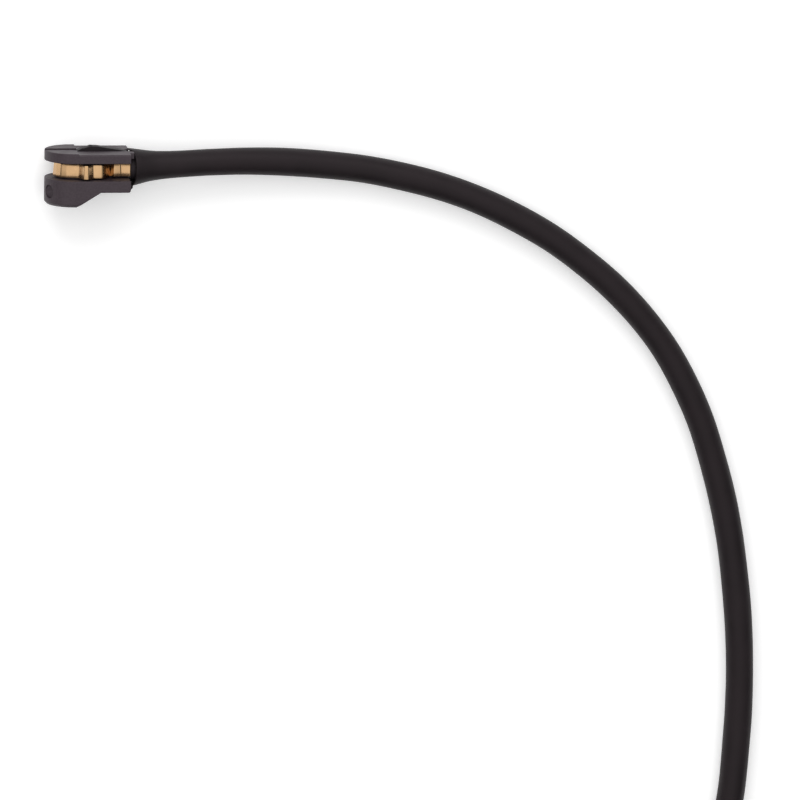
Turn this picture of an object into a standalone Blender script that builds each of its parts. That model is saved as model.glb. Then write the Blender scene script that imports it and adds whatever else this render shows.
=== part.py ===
"""Brake pad wear sensor: clip-in moulded head, brass spring, sleeved lead and sealed two-way plug.

Metres, +Z up. The sensor lies on its side. The head's nose points to -X, its plate gap opens
sideways, and the lead runs out to +X and comes round to the plug. The origin is the middle of
the lower flange's side face, on the floor. Head places are measured from the nose arc's centre
(X), from the lower flange's inner face (Y) and from the floor (Z).
"""

import math

import bmesh
import bpy
from mathutils import Matrix, Vector

FIT = 0.0003  # clearance between pieces that touch

# Head: two flanges on a core, with the wear nose under the lower one
HEAD_WIDTH = 0.0115
FLANGE_BACK = 0.011
PLATE_GAP = 0.0035
LOWER_FLANGE = 0.0023
TOP_FLANGE = 0.0016
RAIL_RISE = 0.00018
RAIL_INSET = 0.00025
PAD_RISE = 0.0004
PAD_BACK = 0.0006
NOSE_DEPTH = 0.0053
NOSE_BACK = 0.0003
SLOPE_BACK = 0.0051
NOSE_CHAMFER = 0.00055
FLANGE_CORNER = 0.0005
EDGE = 0.00009

# Core inside the gap: a round post at the nose and a thin web behind it
POST_RADIUS = 0.0026
POST_X = -0.0002
POST_BACK = 0.0019
WEB = 0.0014

# Wire slot, the groove in front of it and the well down to the wear nose
WIRE = 0.0008
SLOT_DEPTH = 0.00125
GROOVE_WIDTH = 0.002
GROOVE_DEPTH = 0.0006
WELL_X = 0.001
WELL_FLOOR = 0.0036

# Round hole square to the nose's curve, closed by a pin
HOLE_ANGLE = math.radians(29)
HOLE_Y = -0.0025
HOLE_RADIUS = 0.00138
HOLE_DEPTH = 0.0012
PIN_RADIUS = 0.00105
PIN_LENGTH = 0.0018
PIN_SET_BACK = 0.0002

# Cable end of the head, with a black seal on its spigot
SPIGOT_Y = 0.0019
SPIGOT_LENGTH = 0.0022
NECK_SEAL_WALL = 0.00045
TAB_LENGTH = 0.00075
TAB_HEIGHT = 0.0011
TAB_WIDTH = 0.0024

# Spring strip: a bulge before the post, an ear at each side wall and a waist at the web
STRIP = 0.0003
CLIP_SLACK = 0.00035
CLIP_PLAY = 0.00045
CLIP_BULGE = 0.0006
EAR_X = 0.0021
EAR_LENGTH = 0.0015
EAR_DROP = 0.0012
CLIP_TAIL = 0.0028
CLIP_FLARE = 0.0006
NOSE_BEND = 0.0011
EAR_BEND = 0.0004
FOOT_BEND = 0.0006
TAIL_BEND = 0.001

# Lead wires' line over the flange: (behind the well, above the rails), then (behind the
# flange, above the slot's floor), then (behind the spigot, share of the flared end)
HUMP = [
    (0.0, -0.00508),
    (0.0, -0.00228),
    (0.00015, -0.00115),
    (0.0008, -0.0001),
    (0.0019, 0.00055),
    (0.0030, 0.00085),
    (0.0042, 0.0007),
    (0.0063, 0.00025),
]
HUMP_END = [
    (-0.0013, 0.0009),
    (0.0010, 0.00035),
    (0.0021, -0.0001),
    (0.0038, -0.0007),
]
HUMP_TO_SLEEVE = [
    (0.0036, 0.42),
    (0.0062, 0.60),
]
WIRE_TIP = 0.97

# Wear loop
LOOP_WIRE = 0.0004
LOOP_STEPS = 10
CRIMP_RADIUS = 0.00052
CRIMP_LENGTH = 0.0018

# Sleeve and its flared end on the spigot
SLEEVE = 0.0056
BOOT_WALL = 0.0006
BOOT_MOUTH = 0.00378
BOOT_NECK = 0.00265
BOOT_FLARE = 0.25
BOOT_FLARE_POWER = 1.38
BOOT_DROP_POWER = 1.7
BOOT_SHARES = [0.0, 0.03, 0.07, 0.12, 0.18, 0.25, 0.33, 0.42, 0.52, 0.64, 0.76, 0.88, 1.0]
MOUTH_SLANT = 0.0009
LIP_LENGTH = 0.0004
LIP_WIDTH = 0.0022
LIP_DROP = 0.0002

# Plug, measured from its mating face (X) and its axis
SKIRT_WIDTH = 0.015
SKIRT_HEIGHT = 0.011
SKIRT_WALL = 0.0011
SKIRT_LENGTH = 0.013
SKIRT_FLOOR = 0.002
SKIRT_CORNER = 0.0026
TOWER_WIDTH = 0.0092
TOWER_HEIGHT = 0.005
TOWER_CORNER = 0.0014
TOWER_SET_BACK = 0.0006
BODY_WIDTH = 0.0118
BODY_HEIGHT = 0.0078
BODY_CORNER = 0.0018
BODY_LENGTH = 0.023
CONTACT_PITCH = 0.0052
CONTACT_BORE = 0.0015
CONTACT_BOX = 0.0019
PIN_WINDOW = 0.00085
WINDOW_DEPTH = 0.0024
SOCKET_DEPTH = 0.006
LOCK_X = 0.0141
LOCK_LENGTH = 0.0019
LOCK_WIDTH = 0.0088
LOCK_RISE = 0.0004
NECK_RADIUS = 0.00075

# Seals: one round the tower with ribs outside, one on each wire with ridges
NOSE_SEAL_LENGTH = 0.003
NOSE_SEAL_WALL = 0.0006
RIB_START = 0.0004
RIB_LENGTH = 0.0008
RIB_PITCH = 0.0013
SEAL_BORE = 0.0018
SEAL_LENGTH = 0.0028
RIDGE_START = 0.0005
RIDGE_LENGTH = 0.0005
RIDGE_SLOPE = 0.0001

# Cap, boot and the wire ends between them
CAP_WALL = 0.0007
CAP_LENGTH = 0.005
CAP_NECK_RADIUS = 0.0038
CAP_NECK_WALL = 0.0011
CAP_NECK_LENGTH = 0.004
PLUG_BOOT_WALL = 0.001
PLUG_BOOT_END = 0.0038
PLUG_BOOT_LENGTH = 0.0165
PLUG_BOOT_RIM = 0.001
PLUG_BOOT_RIBS = 5
PLUG_BOOT_GROOVE = 0.0009
GROOVE_SHAPE = [(0.15, 1), (0.40, 1), (0.55, 0), (0.90, 0)]  # (share of a rib, in the groove)
SLEEVE_ENGAGED = 0.0094
LEAD_SPLAY = 0.0008
LEAD_CLOSING = 0.005

# Latch arm over the skirt, between two guards
LATCH_WIDTH = 0.0044
LATCH_THICKNESS = 0.001
LATCH_GAP = 0.0008
LATCH_LENGTH = 0.0118
LATCH_FRONT = 0.0005
LATCH_ROOT = 0.0016
LATCH_CHAMFER = 0.0006
NIB_X = 0.0037
NIB_LENGTH = 0.002
NIB_HEIGHT = 0.0009
NIB_BACK = 0.0002
THUMB_LENGTH = 0.0008
THUMB_SLOPE = 0.001
THUMB_HEIGHT = 0.0006
GUARD = 0.001
GUARD_GAP = 0.0009
GUARD_SINK = 0.0006

# The sleeve's route over the floor, from the flared end to the plug
ROUTE = [
    (0.0211, 0.0038, 0.00512),
    (0.0288, 0.0039, 0.00450),
    (0.0369, 0.0036, 0.00383),
    (0.0449, 0.0029, 0.00326),
    (0.0529, 0.0019, 0.00290),
    (0.0608, 0.0003, 0.00282),
    (0.0686, -0.0018, 0.00282),
    (0.0762, -0.0046, 0.00282),
    (0.0835, -0.0081, 0.00282),
    (0.0906, -0.0122, 0.00282),
    (0.0972, -0.0170, 0.00282),
    (0.1034, -0.0223, 0.00282),
    (0.1091, -0.0283, 0.00282),
    (0.1141, -0.0349, 0.00282),
    (0.1182, -0.0421, 0.00282),
    (0.1216, -0.0496, 0.00282),
    (0.1242, -0.0575, 0.00282),
    (0.1264, -0.0655, 0.00282),
    (0.1281, -0.0736, 0.00282),
    (0.1293, -0.0818, 0.00282),
    (0.1302, -0.0900, 0.00282),
    (0.1307, -0.0983, 0.00282),
    (0.1308, -0.1066, 0.00282),
    (0.1305, -0.1148, 0.00282),
    (0.1294, -0.1282, 0.00282),
    (0.1265, -0.1402, 0.00282),
    (0.1213, -0.1500, 0.00282),
    (0.1138, -0.1568, 0.00282),
    (0.1055, -0.1597, 0.00282),
    (0.0985, -0.1602, 0.00310),
    (0.0920, -0.1602, 0.00430),
    (0.0862, -0.1602, 0.00525),
    (0.0820, -0.1602, 0.00550),
    (0.0770, -0.1602, 0.00550),
    (0.0725, -0.1602, 0.00550),
]

MIDDLE = HEAD_WIDTH / 2
SLOT_WIDTH = 3 * FIT + 2 * WIRE
SLOT_SIDE = MIDDLE - SLOT_WIDTH / 2
WIRE_PITCH = WIRE + FIT
LEDGE = PLATE_GAP + TOP_FLANGE
RAIL_TOP = LEDGE + RAIL_RISE
PAD_TOP = LEDGE + PAD_RISE
SLOT_FLOOR = RAIL_TOP - SLOT_DEPTH
SKIRT_BACK = SKIRT_LENGTH - SKIRT_FLOOR
PLUG_BOOT_START = BODY_LENGTH + 2 * FIT + 2 * CAP_WALL
SLEEVE_SEAT = PLUG_BOOT_START + PLUG_BOOT_LENGTH - SLEEVE_ENGAGED
BEYOND = 0.004  # how far a cutter reaches past what it cuts
SHORT = 1e-6  # what counts as no distance
FLAT = math.radians(0.05)  # what counts as no angle
CURVE_STEPS = 24  # steps between two points of a smooth line


def start_scene():
    """Empties the scene and makes one collection for the object and one for its cutters."""
    for obj in list(bpy.data.objects):
        bpy.data.objects.remove(obj, do_unlink=True)
    made = []
    for name in ("brake_pad_wear_sensor", "cutters"):
        collection = bpy.data.collections.new(name)
        bpy.context.scene.collection.children.link(collection)
        made.append(collection)
    return made


PARTS, CUTTERS = start_scene()


def frame(name, location):
    """An empty that carries the pieces of one end of the sensor."""
    empty = bpy.data.objects.new(name, None)
    empty.location = location
    PARTS.objects.link(empty)
    return empty


HEAD = frame("head_frame", (-FLANGE_BACK / 2, LOWER_FLANGE / 2, 0.0))
PLUG = frame("plug_frame", (ROUTE[-1][0] - SLEEVE_SEAT, ROUTE[-1][1], SKIRT_HEIGHT / 2))


def material(name, colour, roughness, metallic=0.0):
    made = bpy.data.materials.new(name)
    made.use_nodes = True
    shader = made.node_tree.nodes["Principled BSDF"]
    shader.inputs["Base Color"].default_value = (*colour, 1.0)
    shader.inputs["Roughness"].default_value = roughness
    shader.inputs["Metallic"].default_value = metallic
    return made


def add(name, mesh, carrier=None):
    """Puts a mesh in the scene under the empty that carries it."""
    obj = bpy.data.objects.new(name, mesh)
    PARTS.objects.link(obj)
    obj.parent = carrier
    return obj


def as_cutter(obj):
    """A shape that only cuts or joins another: hidden, drawn as wire, in its own collection."""
    PARTS.objects.unlink(obj)
    CUTTERS.objects.link(obj)
    obj.hide_render = True
    obj.display_type = "WIRE"
    return obj


def boolean(target, tool, operation="DIFFERENCE"):
    modifier = target.modifiers.new(tool.name, "BOOLEAN")
    modifier.operation = operation
    modifier.object = as_cutter(tool)
    return target


def to_mesh(obj, carrier):
    """The curve's mesh, with its caps welded on, in place of the curve."""
    bpy.context.view_layer.update()
    evaluated = obj.evaluated_get(bpy.context.evaluated_depsgraph_get())
    mesh = bpy.data.meshes.new_from_object(evaluated)
    shape = bmesh.new()
    shape.from_mesh(mesh)
    bmesh.ops.remove_doubles(shape, verts=shape.verts, dist=SHORT)
    shape.to_mesh(mesh)
    shape.free()
    made = add(obj.name + "_mesh", mesh, carrier)
    made.matrix_world = obj.matrix_world
    name = obj.name
    bpy.data.objects.remove(obj, do_unlink=True)
    made.name = name
    return made


def spline_curve(name, points, radii=None, closed=False, flat=False):
    curve = bpy.data.curves.new(name, "CURVE")
    curve.dimensions = "2D" if flat else "3D"
    spline = curve.splines.new("POLY")
    spline.points.add(len(points) - 1)
    spline.use_cyclic_u = closed
    for index, point in enumerate(points):
        place = (*point, 0.0) if len(point) == 2 else point
        spline.points[index].co = (*place, 1.0)
        spline.points[index].radius = radii[index] if radii else 1.0
    return curve


def prism(name, outline, low, high, carrier, turn=None):
    """A flat outline made solid from low to high along its own normal."""
    curve = spline_curve(name, outline, closed=True, flat=True)
    curve.fill_mode = "BOTH"
    curve.extrude = (high - low) / 2
    obj = bpy.data.objects.new(name, curve)
    PARTS.objects.link(obj)
    obj.parent = carrier
    turned = turn or Matrix.Identity(4)
    obj.matrix_local = turned @ Matrix.Translation((0.0, 0.0, (low + high) / 2))
    solid = to_mesh(obj, carrier)
    shape = bmesh.new()
    shape.from_mesh(solid.data)
    bmesh.ops.dissolve_limit(shape, angle_limit=FLAT, verts=shape.verts, edges=shape.edges)
    shape.to_mesh(solid.data)
    shape.free()
    return solid


# Turns an outline drawn in X and Z, in Y and Z, or in X and Z facing -Y, to its own plane
ALONG_Y = Matrix(((1, 0, 0, 0), (0, 0, 1, 0), (0, 1, 0, 0), (0, 0, 0, 1)))
ALONG_X = Matrix(((0, 0, 1, 0), (1, 0, 0, 0), (0, 1, 0, 0), (0, 0, 0, 1)))
UPRIGHT = Matrix(((1, 0, 0, 0), (0, 0, -1, 0), (0, 1, 0, 0), (0, 0, 0, 1)))


def box(name, low, high, carrier):
    mesh = bpy.data.meshes.new(name)
    shape = bmesh.new()
    size = Vector(high) - Vector(low)
    centre = (Vector(high) + Vector(low)) / 2
    place = Matrix.Translation(centre) @ Matrix.Diagonal((*size, 1.0))
    bmesh.ops.create_cube(shape, size=1.0, matrix=place)
    shape.to_mesh(mesh)
    shape.free()
    return add(name, mesh, carrier)


def cylinder(name, radius, low, high, centre, carrier, axis="X", sides=32):
    """A round bar from low to high along an axis, with its centre in the other two directions."""
    mesh = bpy.data.meshes.new(name)
    shape = bmesh.new()
    middle = (low + high) / 2
    if axis == "X":
        place = Matrix.Translation((middle, *centre)) @ Matrix.Rotation(math.pi / 2, 4, "Y")
    else:
        place = Matrix.Translation((centre[0], middle, centre[1])) @ Matrix.Rotation(math.pi / 2, 4, "X")
    bmesh.ops.create_cone(
        shape, cap_ends=True, segments=sides, radius1=radius, radius2=radius,
        depth=high - low, matrix=place,
    )
    shape.to_mesh(mesh)
    shape.free()
    return add(name, mesh, carrier)


def turned(name, profile, carrier, sides=32, across=0.0):
    """A profile of (place along X, radius) points turned about an axis along X."""
    mesh = bpy.data.meshes.new(name)
    shape = bmesh.new()
    corners = [shape.verts.new((radius, 0.0, -along)) for along, radius in profile]
    for first, second in zip(corners, corners[1:] + corners[:1]):
        shape.edges.new((first, second))
    shape.to_mesh(mesh)
    shape.free()
    obj = add(name, mesh, carrier)
    obj.location.y = across
    obj.rotation_euler.y = -math.pi / 2
    screw = obj.modifiers.new("turn", "SCREW")
    screw.axis = "Z"
    screw.steps = sides
    screw.render_steps = sides
    screw.use_merge_vertices = True
    screw.merge_threshold = SHORT
    return obj


def tube(name, points, radii, carrier, resolution=2):
    """A round bar or taper along a line of points."""
    curve = spline_curve(name, points, radii)
    curve.bevel_depth = 1.0
    curve.bevel_resolution = resolution
    curve.use_fill_caps = True
    obj = bpy.data.objects.new(name, curve)
    PARTS.objects.link(obj)
    obj.parent = carrier
    return to_mesh(obj, carrier)


def arc(centre, radius, start, stop, steps):
    """Points on an arc, angles in degrees."""
    angles = [math.radians(start + (stop - start) * i / steps) for i in range(steps + 1)]
    return [(centre[0] + radius * math.cos(a), centre[1] + radius * math.sin(a)) for a in angles]


def rounded(corners, radii, steps=5, closed=False):
    """An outline with each corner replaced by an arc of its own radius."""
    outline = []
    count = len(corners)
    for index, corner in enumerate(corners):
        here = Vector(corner)
        if radii[index] == 0.0 or (not closed and index in (0, count - 1)):
            outline.append(tuple(here))
            continue
        before = Vector(corners[index - 1]) - here
        after = Vector(corners[(index + 1) % count]) - here
        opening = before.angle(after)
        reach = min(radii[index] / math.tan(opening / 2), 0.49 * before.length, 0.49 * after.length)
        radius = reach * math.tan(opening / 2)
        bisector = (before.normalized() + after.normalized()).normalized()
        centre = here + bisector * radius / math.sin(opening / 2)
        first = here + before.normalized() * reach - centre
        last = here + after.normalized() * reach - centre
        sweep = math.atan2(first.x * last.y - first.y * last.x, first.dot(last))
        for step in range(steps + 1):
            turn = Matrix.Rotation(sweep * step / steps, 2)
            outline.append(tuple(centre + turn @ first))
    return outline


def rounded_box(width, height, radius, steps=5):
    """A rectangle with round corners, about its own middle."""
    x, y = width / 2, height / 2
    return rounded([(-x, -y), (x, -y), (x, y), (-x, y)], [radius] * 4, steps, closed=True)


def smooth_line(points, spacing):
    """Points at an even spacing on a smooth curve through the given ones."""
    knots = [Vector(point) for point in points]
    knots = [knots[0] * 2 - knots[1], *knots, knots[-1] * 2 - knots[-2]]
    dense = []
    for p0, p1, p2, p3 in zip(knots, knots[1:], knots[2:], knots[3:]):
        for step in range(CURVE_STEPS):
            t = step / CURVE_STEPS
            dense.append(
                0.5 * (2 * p1 + (p2 - p0) * t + (2 * p0 - 5 * p1 + 4 * p2 - p3) * t * t
                       + (3 * p1 - p0 - 3 * p2 + p3) * t ** 3)
            )
    dense.append(knots[-2])
    lengths = [0.0]
    for first, second in zip(dense, dense[1:]):
        lengths.append(lengths[-1] + (second - first).length)
    count = max(2, round(lengths[-1] / spacing))
    line = []
    index = 0
    for step in range(count + 1):
        goal = lengths[-1] * step / count
        while index < len(lengths) - 2 and lengths[index + 1] < goal:
            index += 1
        share = (goal - lengths[index]) / max(lengths[index + 1] - lengths[index], SHORT)
        line.append(dense[index].lerp(dense[index + 1], min(share, 1.0)))
    return line


def shade(obj, finish, smooth_below=35.0):
    obj.data.materials.append(finish)
    obj.data.shade_smooth()
    obj.data.set_sharp_from_angle(angle=math.radians(smooth_below))
    return obj


def soften(obj, width, segments=2):
    bevel = obj.modifiers.new("edges", "BEVEL")
    bevel.width = width
    bevel.segments = segments
    bevel.limit_method = "ANGLE"
    bevel.angle_limit = math.radians(38)
    bevel.use_clamp_overlap = True
    return obj


def head_outline(inset=0.0, back=FLANGE_BACK + BEYOND):
    """The head seen along the gap: half a circle at the nose and straight sides."""
    radius = MIDDLE - inset
    nose = arc((0.0, MIDDLE), radius, 90, 270, 30)
    return [*nose, (back, MIDDLE - radius), (back, MIDDLE + radius)]


def core_outline():
    """The post and the web that join the two flanges."""
    nose = arc((POST_X, MIDDLE), POST_RADIUS, 90, 270, 20)
    return [
        *nose,
        (POST_BACK, MIDDLE - POST_RADIUS),
        (POST_BACK, MIDDLE - WEB / 2),
        (FLANGE_BACK + BEYOND / 2, MIDDLE - WEB / 2),
        (FLANGE_BACK + BEYOND / 2, MIDDLE + WEB / 2),
        (POST_BACK, MIDDLE + WEB / 2),
        (POST_BACK, MIDDLE + POST_RADIUS),
    ]


def side_outline():
    """The head seen from the side: the sloped wear nose and the flanges' square rear end."""
    slope = (NOSE_DEPTH - LOWER_FLANGE) / (SLOPE_BACK - NOSE_BACK)
    low = -NOSE_DEPTH - BEYOND
    start = NOSE_BACK - BEYOND / slope
    corners = [
        (-HEAD_WIDTH, low),
        (start, low),
        (SLOPE_BACK, -LOWER_FLANGE),
        (FLANGE_BACK, -LOWER_FLANGE),
        (FLANGE_BACK, PAD_TOP + BEYOND),
        (-HEAD_WIDTH, PAD_TOP + BEYOND),
    ]
    return rounded(corners, [0.0, 0.0, 0.0, FLANGE_CORNER, 0.0, 0.0], closed=True)


def chamfer_nose(obj):
    """Takes the sharp edge off the wear nose, round its outline."""
    shape = bmesh.new()
    shape.from_mesh(obj.data)
    lowest = min(vert.co.y for vert in shape.verts)
    edges = [
        edge for edge in shape.edges
        if all(abs(vert.co.y - lowest) < SHORT for vert in edge.verts)
        and len({abs(face.normal.y) < 0.5 for face in edge.link_faces}) == 2
    ]
    bmesh.ops.bevel(shape, geom=edges, offset=NOSE_CHAMFER, segments=1, profile=0.5, affect="EDGES")
    shape.to_mesh(obj.data)
    shape.free()


def nose_bar(name, radius, low, high, sides):
    """A round bar on the nose hole's axis, with its ends measured from the nose arc's centre."""
    bar = cylinder(name, radius, low, high, (HOLE_Y, 0.0), HEAD, sides=sides)
    bar.location.z = MIDDLE
    bar.rotation_euler.y = HOLE_ANGLE
    return bar


def nose_hole(head):
    """The round hole in the nose, and the pin that closes it."""
    floor = HOLE_DEPTH - MIDDLE
    end = floor + PIN_LENGTH
    boolean(head, nose_bar("hole", HOLE_RADIUS, -HEAD_WIDTH, floor, 28))
    boolean(head, nose_bar("pin_bore", PIN_RADIUS + FIT, floor - EDGE, end, 20))
    return nose_bar("nose_pin", PIN_RADIUS, floor - PIN_SET_BACK, end - FIT, 20)


def cut_top(head):
    """Rails lower than the nose pad, each set in from the side, and the slot between them."""
    high = PAD_TOP + BEYOND
    half = [(high, -BEYOND), (LEDGE, -BEYOND), (LEDGE, RAIL_INSET), (RAIL_TOP, RAIL_INSET),
            (RAIL_TOP, SLOT_SIDE), (SLOT_FLOOR, SLOT_SIDE)]
    profile = half + [(y, HEAD_WIDTH - z) for y, z in reversed(half)]
    boolean(head, prism("over_rails", profile, PAD_BACK, FLANGE_BACK + BEYOND, HEAD, ALONG_X))


def cut_wire_way(head):
    """Groove in the nose pad, shallow towards the tip, and the well for the wires."""
    start = -MIDDLE - BEYOND
    high = PAD_TOP + BEYOND
    groove = [
        (start, PAD_TOP),
        (PAD_BACK + FIT, PAD_TOP - GROOVE_DEPTH),
        (PAD_BACK + FIT, high),
        (start, high),
    ]
    boolean(head, prism("groove", groove, MIDDLE - GROOVE_WIDTH / 2, MIDDLE + GROOVE_WIDTH / 2, HEAD))
    half = WIRE / 2 + FIT
    well = box(
        "well", (WELL_X - half, -WELL_FLOOR, SLOT_SIDE),
        (WELL_X + half, high, HEAD_WIDTH - SLOT_SIDE), HEAD,
    )
    boolean(head, well)


def spigot_groove(name):
    """Cutter that lets the wires down from the slot into the sleeve."""
    return box(
        name, (FLANGE_BACK - BEYOND, SLOT_FLOOR - 3 * FIT, SLOT_SIDE),
        (FLANGE_BACK + SPIGOT_LENGTH + BEYOND, PAD_TOP, HEAD_WIDTH - SLOT_SIDE), HEAD,
    )


def seal_radius():
    """Outside of the seal on the spigot, a clearance inside the flared end."""
    engaged = SPIGOT_LENGTH / (boot_axis(1.0).x - FLANGE_BACK)
    return boot_radius(engaged) - BOOT_WALL - FIT


def spigot_radius():
    return seal_radius() - NECK_SEAL_WALL - FIT


def tab_box(name, margin=0.0):
    """The tab that stands out behind the front rail, or the room that the flared end leaves it."""
    side = HEAD_WIDTH - SLOT_SIDE
    return box(
        name, (FLANGE_BACK - FIT, RAIL_TOP - TAB_HEIGHT - margin, side - margin),
        (FLANGE_BACK + TAB_LENGTH + margin, RAIL_TOP + margin, side + TAB_WIDTH + margin), HEAD,
    )


def add_cable_end(head):
    """Spigot for the seal and the flared sleeve, with a groove for the wires, and the tab."""
    centre = (SPIGOT_Y, MIDDLE)
    end = FLANGE_BACK + SPIGOT_LENGTH
    spigot = cylinder("spigot", spigot_radius(), FLANGE_BACK - FIT, end, centre, HEAD, sides=36)
    boolean(spigot, spigot_groove("spigot_groove"))
    clear = (FLANGE_BACK, PLATE_GAP, HEAD_WIDTH + BEYOND)
    boolean(spigot, box("gap_end", (0.0, 0.0, -BEYOND), clear, HEAD))
    boolean(head, spigot, "UNION")
    boolean(head, tab_box("tab"), "UNION")


def build_neck_seal(finish):
    """Black ring on the spigot, open where the wires pass."""
    centre = (SPIGOT_Y, MIDDLE)
    low, high = FLANGE_BACK + FIT, FLANGE_BACK + SPIGOT_LENGTH
    ring = cylinder("neck_seal", seal_radius(), low, high, centre, HEAD, sides=36)
    bore = cylinder("neck_bore", spigot_radius() + FIT, low - FIT, high + FIT, centre, HEAD, sides=36)
    boolean(ring, bore)
    boolean(ring, spigot_groove("neck_groove"))
    shade(ring, finish)


def build_head(finish):
    head = prism("head_body", head_outline(), -NOSE_DEPTH, PAD_TOP, HEAD, ALONG_Y)
    head.data.transform(head.matrix_local)
    head.matrix_local = Matrix.Identity(4)
    chamfer_nose(head)
    boolean(head, prism("side", side_outline(), -BEYOND, HEAD_WIDTH + BEYOND, HEAD), "INTERSECT")
    cut_top(head)
    gap = box(
        "gap", (-HEAD_WIDTH, 0.0, -BEYOND),
        (FLANGE_BACK + BEYOND, PLATE_GAP, HEAD_WIDTH + BEYOND), HEAD,
    )
    boolean(gap, prism("core", core_outline(), -BEYOND, PLATE_GAP + BEYOND, HEAD, ALONG_Y))
    boolean(head, gap)
    soften(head, EDGE)
    cut_wire_way(head)
    pin = nose_hole(head)
    add_cable_end(head)
    shade(head, finish)
    shade(pin, finish)


def build_slot_sealant(finish):
    """Black compound in the slot, up to the underside of the wires."""
    line = smooth_line([(x, y, 0.0) for x, y in wire_line()], WIRE)
    floor = SLOT_FLOOR + FIT
    reach = WIRE / 2 + FIT
    under = []
    for here, there in zip(line, line[1:]):
        way = (there - here).normalized()
        x, y = here.x + way.y * reach, here.y - way.x * reach
        if y > floor + SHORT and x < FLANGE_BACK - FIT:
            under.append((x, y))
    outline = [(under[0][0], floor), *under, (under[-1][0], floor)]
    fill = prism("slot_sealant", outline, SLOT_SIDE + FIT, HEAD_WIDTH - SLOT_SIDE - FIT, HEAD)
    shade(fill, finish)


def clip_outline():
    """Half of the spring's outer line, nose to free end: ((X, distance from the middle), bend radius)."""
    nose = POST_RADIUS + CLIP_SLACK + STRIP
    waist = WEB / 2 + CLIP_SLACK + STRIP
    crest = MIDDLE - FIT
    end = FLANGE_BACK - FIT
    front = POST_X - nose
    lean = EAR_DROP / 6
    return [
        ((front - CLIP_BULGE, 0.0), NOSE_BEND),
        ((front + 2 * CLIP_BULGE, nose - CLIP_BULGE), EAR_BEND),
        ((EAR_X - EAR_DROP, nose + 2 * lean), EAR_BEND),
        ((EAR_X - 2 * lean, crest - lean), EAR_BEND),
        ((EAR_X + 2 * lean, crest), EAR_BEND),
        ((EAR_X + EAR_LENGTH, crest - EAR_DROP), FOOT_BEND),
        ((end - 2 * CLIP_TAIL, crest - EAR_DROP), TAIL_BEND),
        ((end - CLIP_TAIL, waist), TAIL_BEND),
        ((end, waist + CLIP_FLARE), 0.0),
    ]


def build_clip(finish):
    """A strip bent to the outline, standing in the gap."""
    half = clip_outline()
    front = [(x, MIDDLE + side) for (x, side), _ in half]
    back = [(x, MIDDLE - side) for (x, side), _ in half]
    radii = [radius for _, radius in half]
    corners = back[:0:-1] + front
    line = rounded(corners, radii[:0:-1] + radii, steps=4)
    curve = spline_curve("spring_clip", line, flat=True)
    curve.fill_mode = "NONE"
    curve.extrude = (PLATE_GAP - 2 * CLIP_PLAY) / 2
    obj = bpy.data.objects.new("spring_clip", curve)
    PARTS.objects.link(obj)
    obj.parent = HEAD
    obj.matrix_local = ALONG_Y @ Matrix.Translation((0.0, 0.0, PLATE_GAP / 2))
    clip = to_mesh(obj, HEAD)
    solid = clip.modifiers.new("strip", "SOLIDIFY")
    solid.thickness = STRIP
    solid.offset = 1.0
    solid.use_even_offset = True
    return shade(clip, finish)


def boot_axis(share):
    """A point on the middle line of the flared end, from the head to the sleeve's start."""
    start = Vector((FLANGE_BACK, SPIGOT_Y, MIDDLE))
    sleeve = HEAD.matrix_world.inverted() @ Vector(ROUTE[0]) - Vector((FIT, 0.0, 0.0))
    point = start.lerp(sleeve, share)
    point.z = start.z + (sleeve.z - start.z) * share ** BOOT_DROP_POWER
    return point


def boot_radius(share):
    """Wide at the mouth, and the sleeve's neck after a quarter of the length."""
    flare = math.exp(-((share / BOOT_FLARE) ** BOOT_FLARE_POWER))
    return BOOT_NECK + (BOOT_MOUTH - BOOT_NECK) * flare


def wire_line():
    """Middle line of a lead wire in the head: up the well, over the flange and into the sleeve."""
    spigot_end = FLANGE_BACK + SPIGOT_LENGTH
    tip = boot_axis(WIRE_TIP)
    line = [(WELL_X + x, RAIL_TOP + y) for x, y in HUMP]
    line += [(FLANGE_BACK + x, SLOT_FLOOR + y) for x, y in HUMP_END]
    line += [(spigot_end + x, boot_axis(share).y) for x, share in HUMP_TO_SLEEVE]
    return [*line, (tip.x, tip.y)]


def build_wires(finish, copper, tin):
    """Two insulated wires side by side, crimped to the bare loop in the wear nose."""
    first, last = boot_axis(0.0).x, boot_axis(1.0).x
    crimp_top = wire_line()[0][1] - FIT
    crimp_low = crimp_top - CRIMP_LENGTH
    bend = WIRE_PITCH / 2
    for index, side in enumerate((-1, 1)):
        line = []
        for x, y in wire_line():
            share = min(max((x - first) / (last - first), 0.0), 1.0)
            line.append((x, y, boot_axis(share).z + side * bend))
        points = smooth_line(line, WIRE)
        wire = tube(f"lead_wire_{index + 1}", points, [WIRE / 2] * len(points), HEAD)
        shade(wire, finish)
        centre = (WELL_X, MIDDLE + side * bend)
        name = f"loop_crimp_{index + 1}"
        shade(cylinder(name, CRIMP_RADIUS, crimp_low, crimp_top, centre, HEAD, axis="Y", sides=16), tin)
    high = crimp_low - FIT
    low = -WELL_FLOOR + FIT + LOOP_WIRE / 2 + bend
    angles = [math.pi * step / LOOP_STEPS for step in range(LOOP_STEPS + 1)]
    turn = [(WELL_X, low - bend * math.sin(angle), MIDDLE + bend * math.cos(angle)) for angle in angles]
    line = [(WELL_X, high, MIDDLE + bend), *turn, (WELL_X, high, MIDDLE - bend)]
    shade(tube("wear_loop", line, [LOOP_WIRE / 2] * len(line), HEAD), copper)


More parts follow.
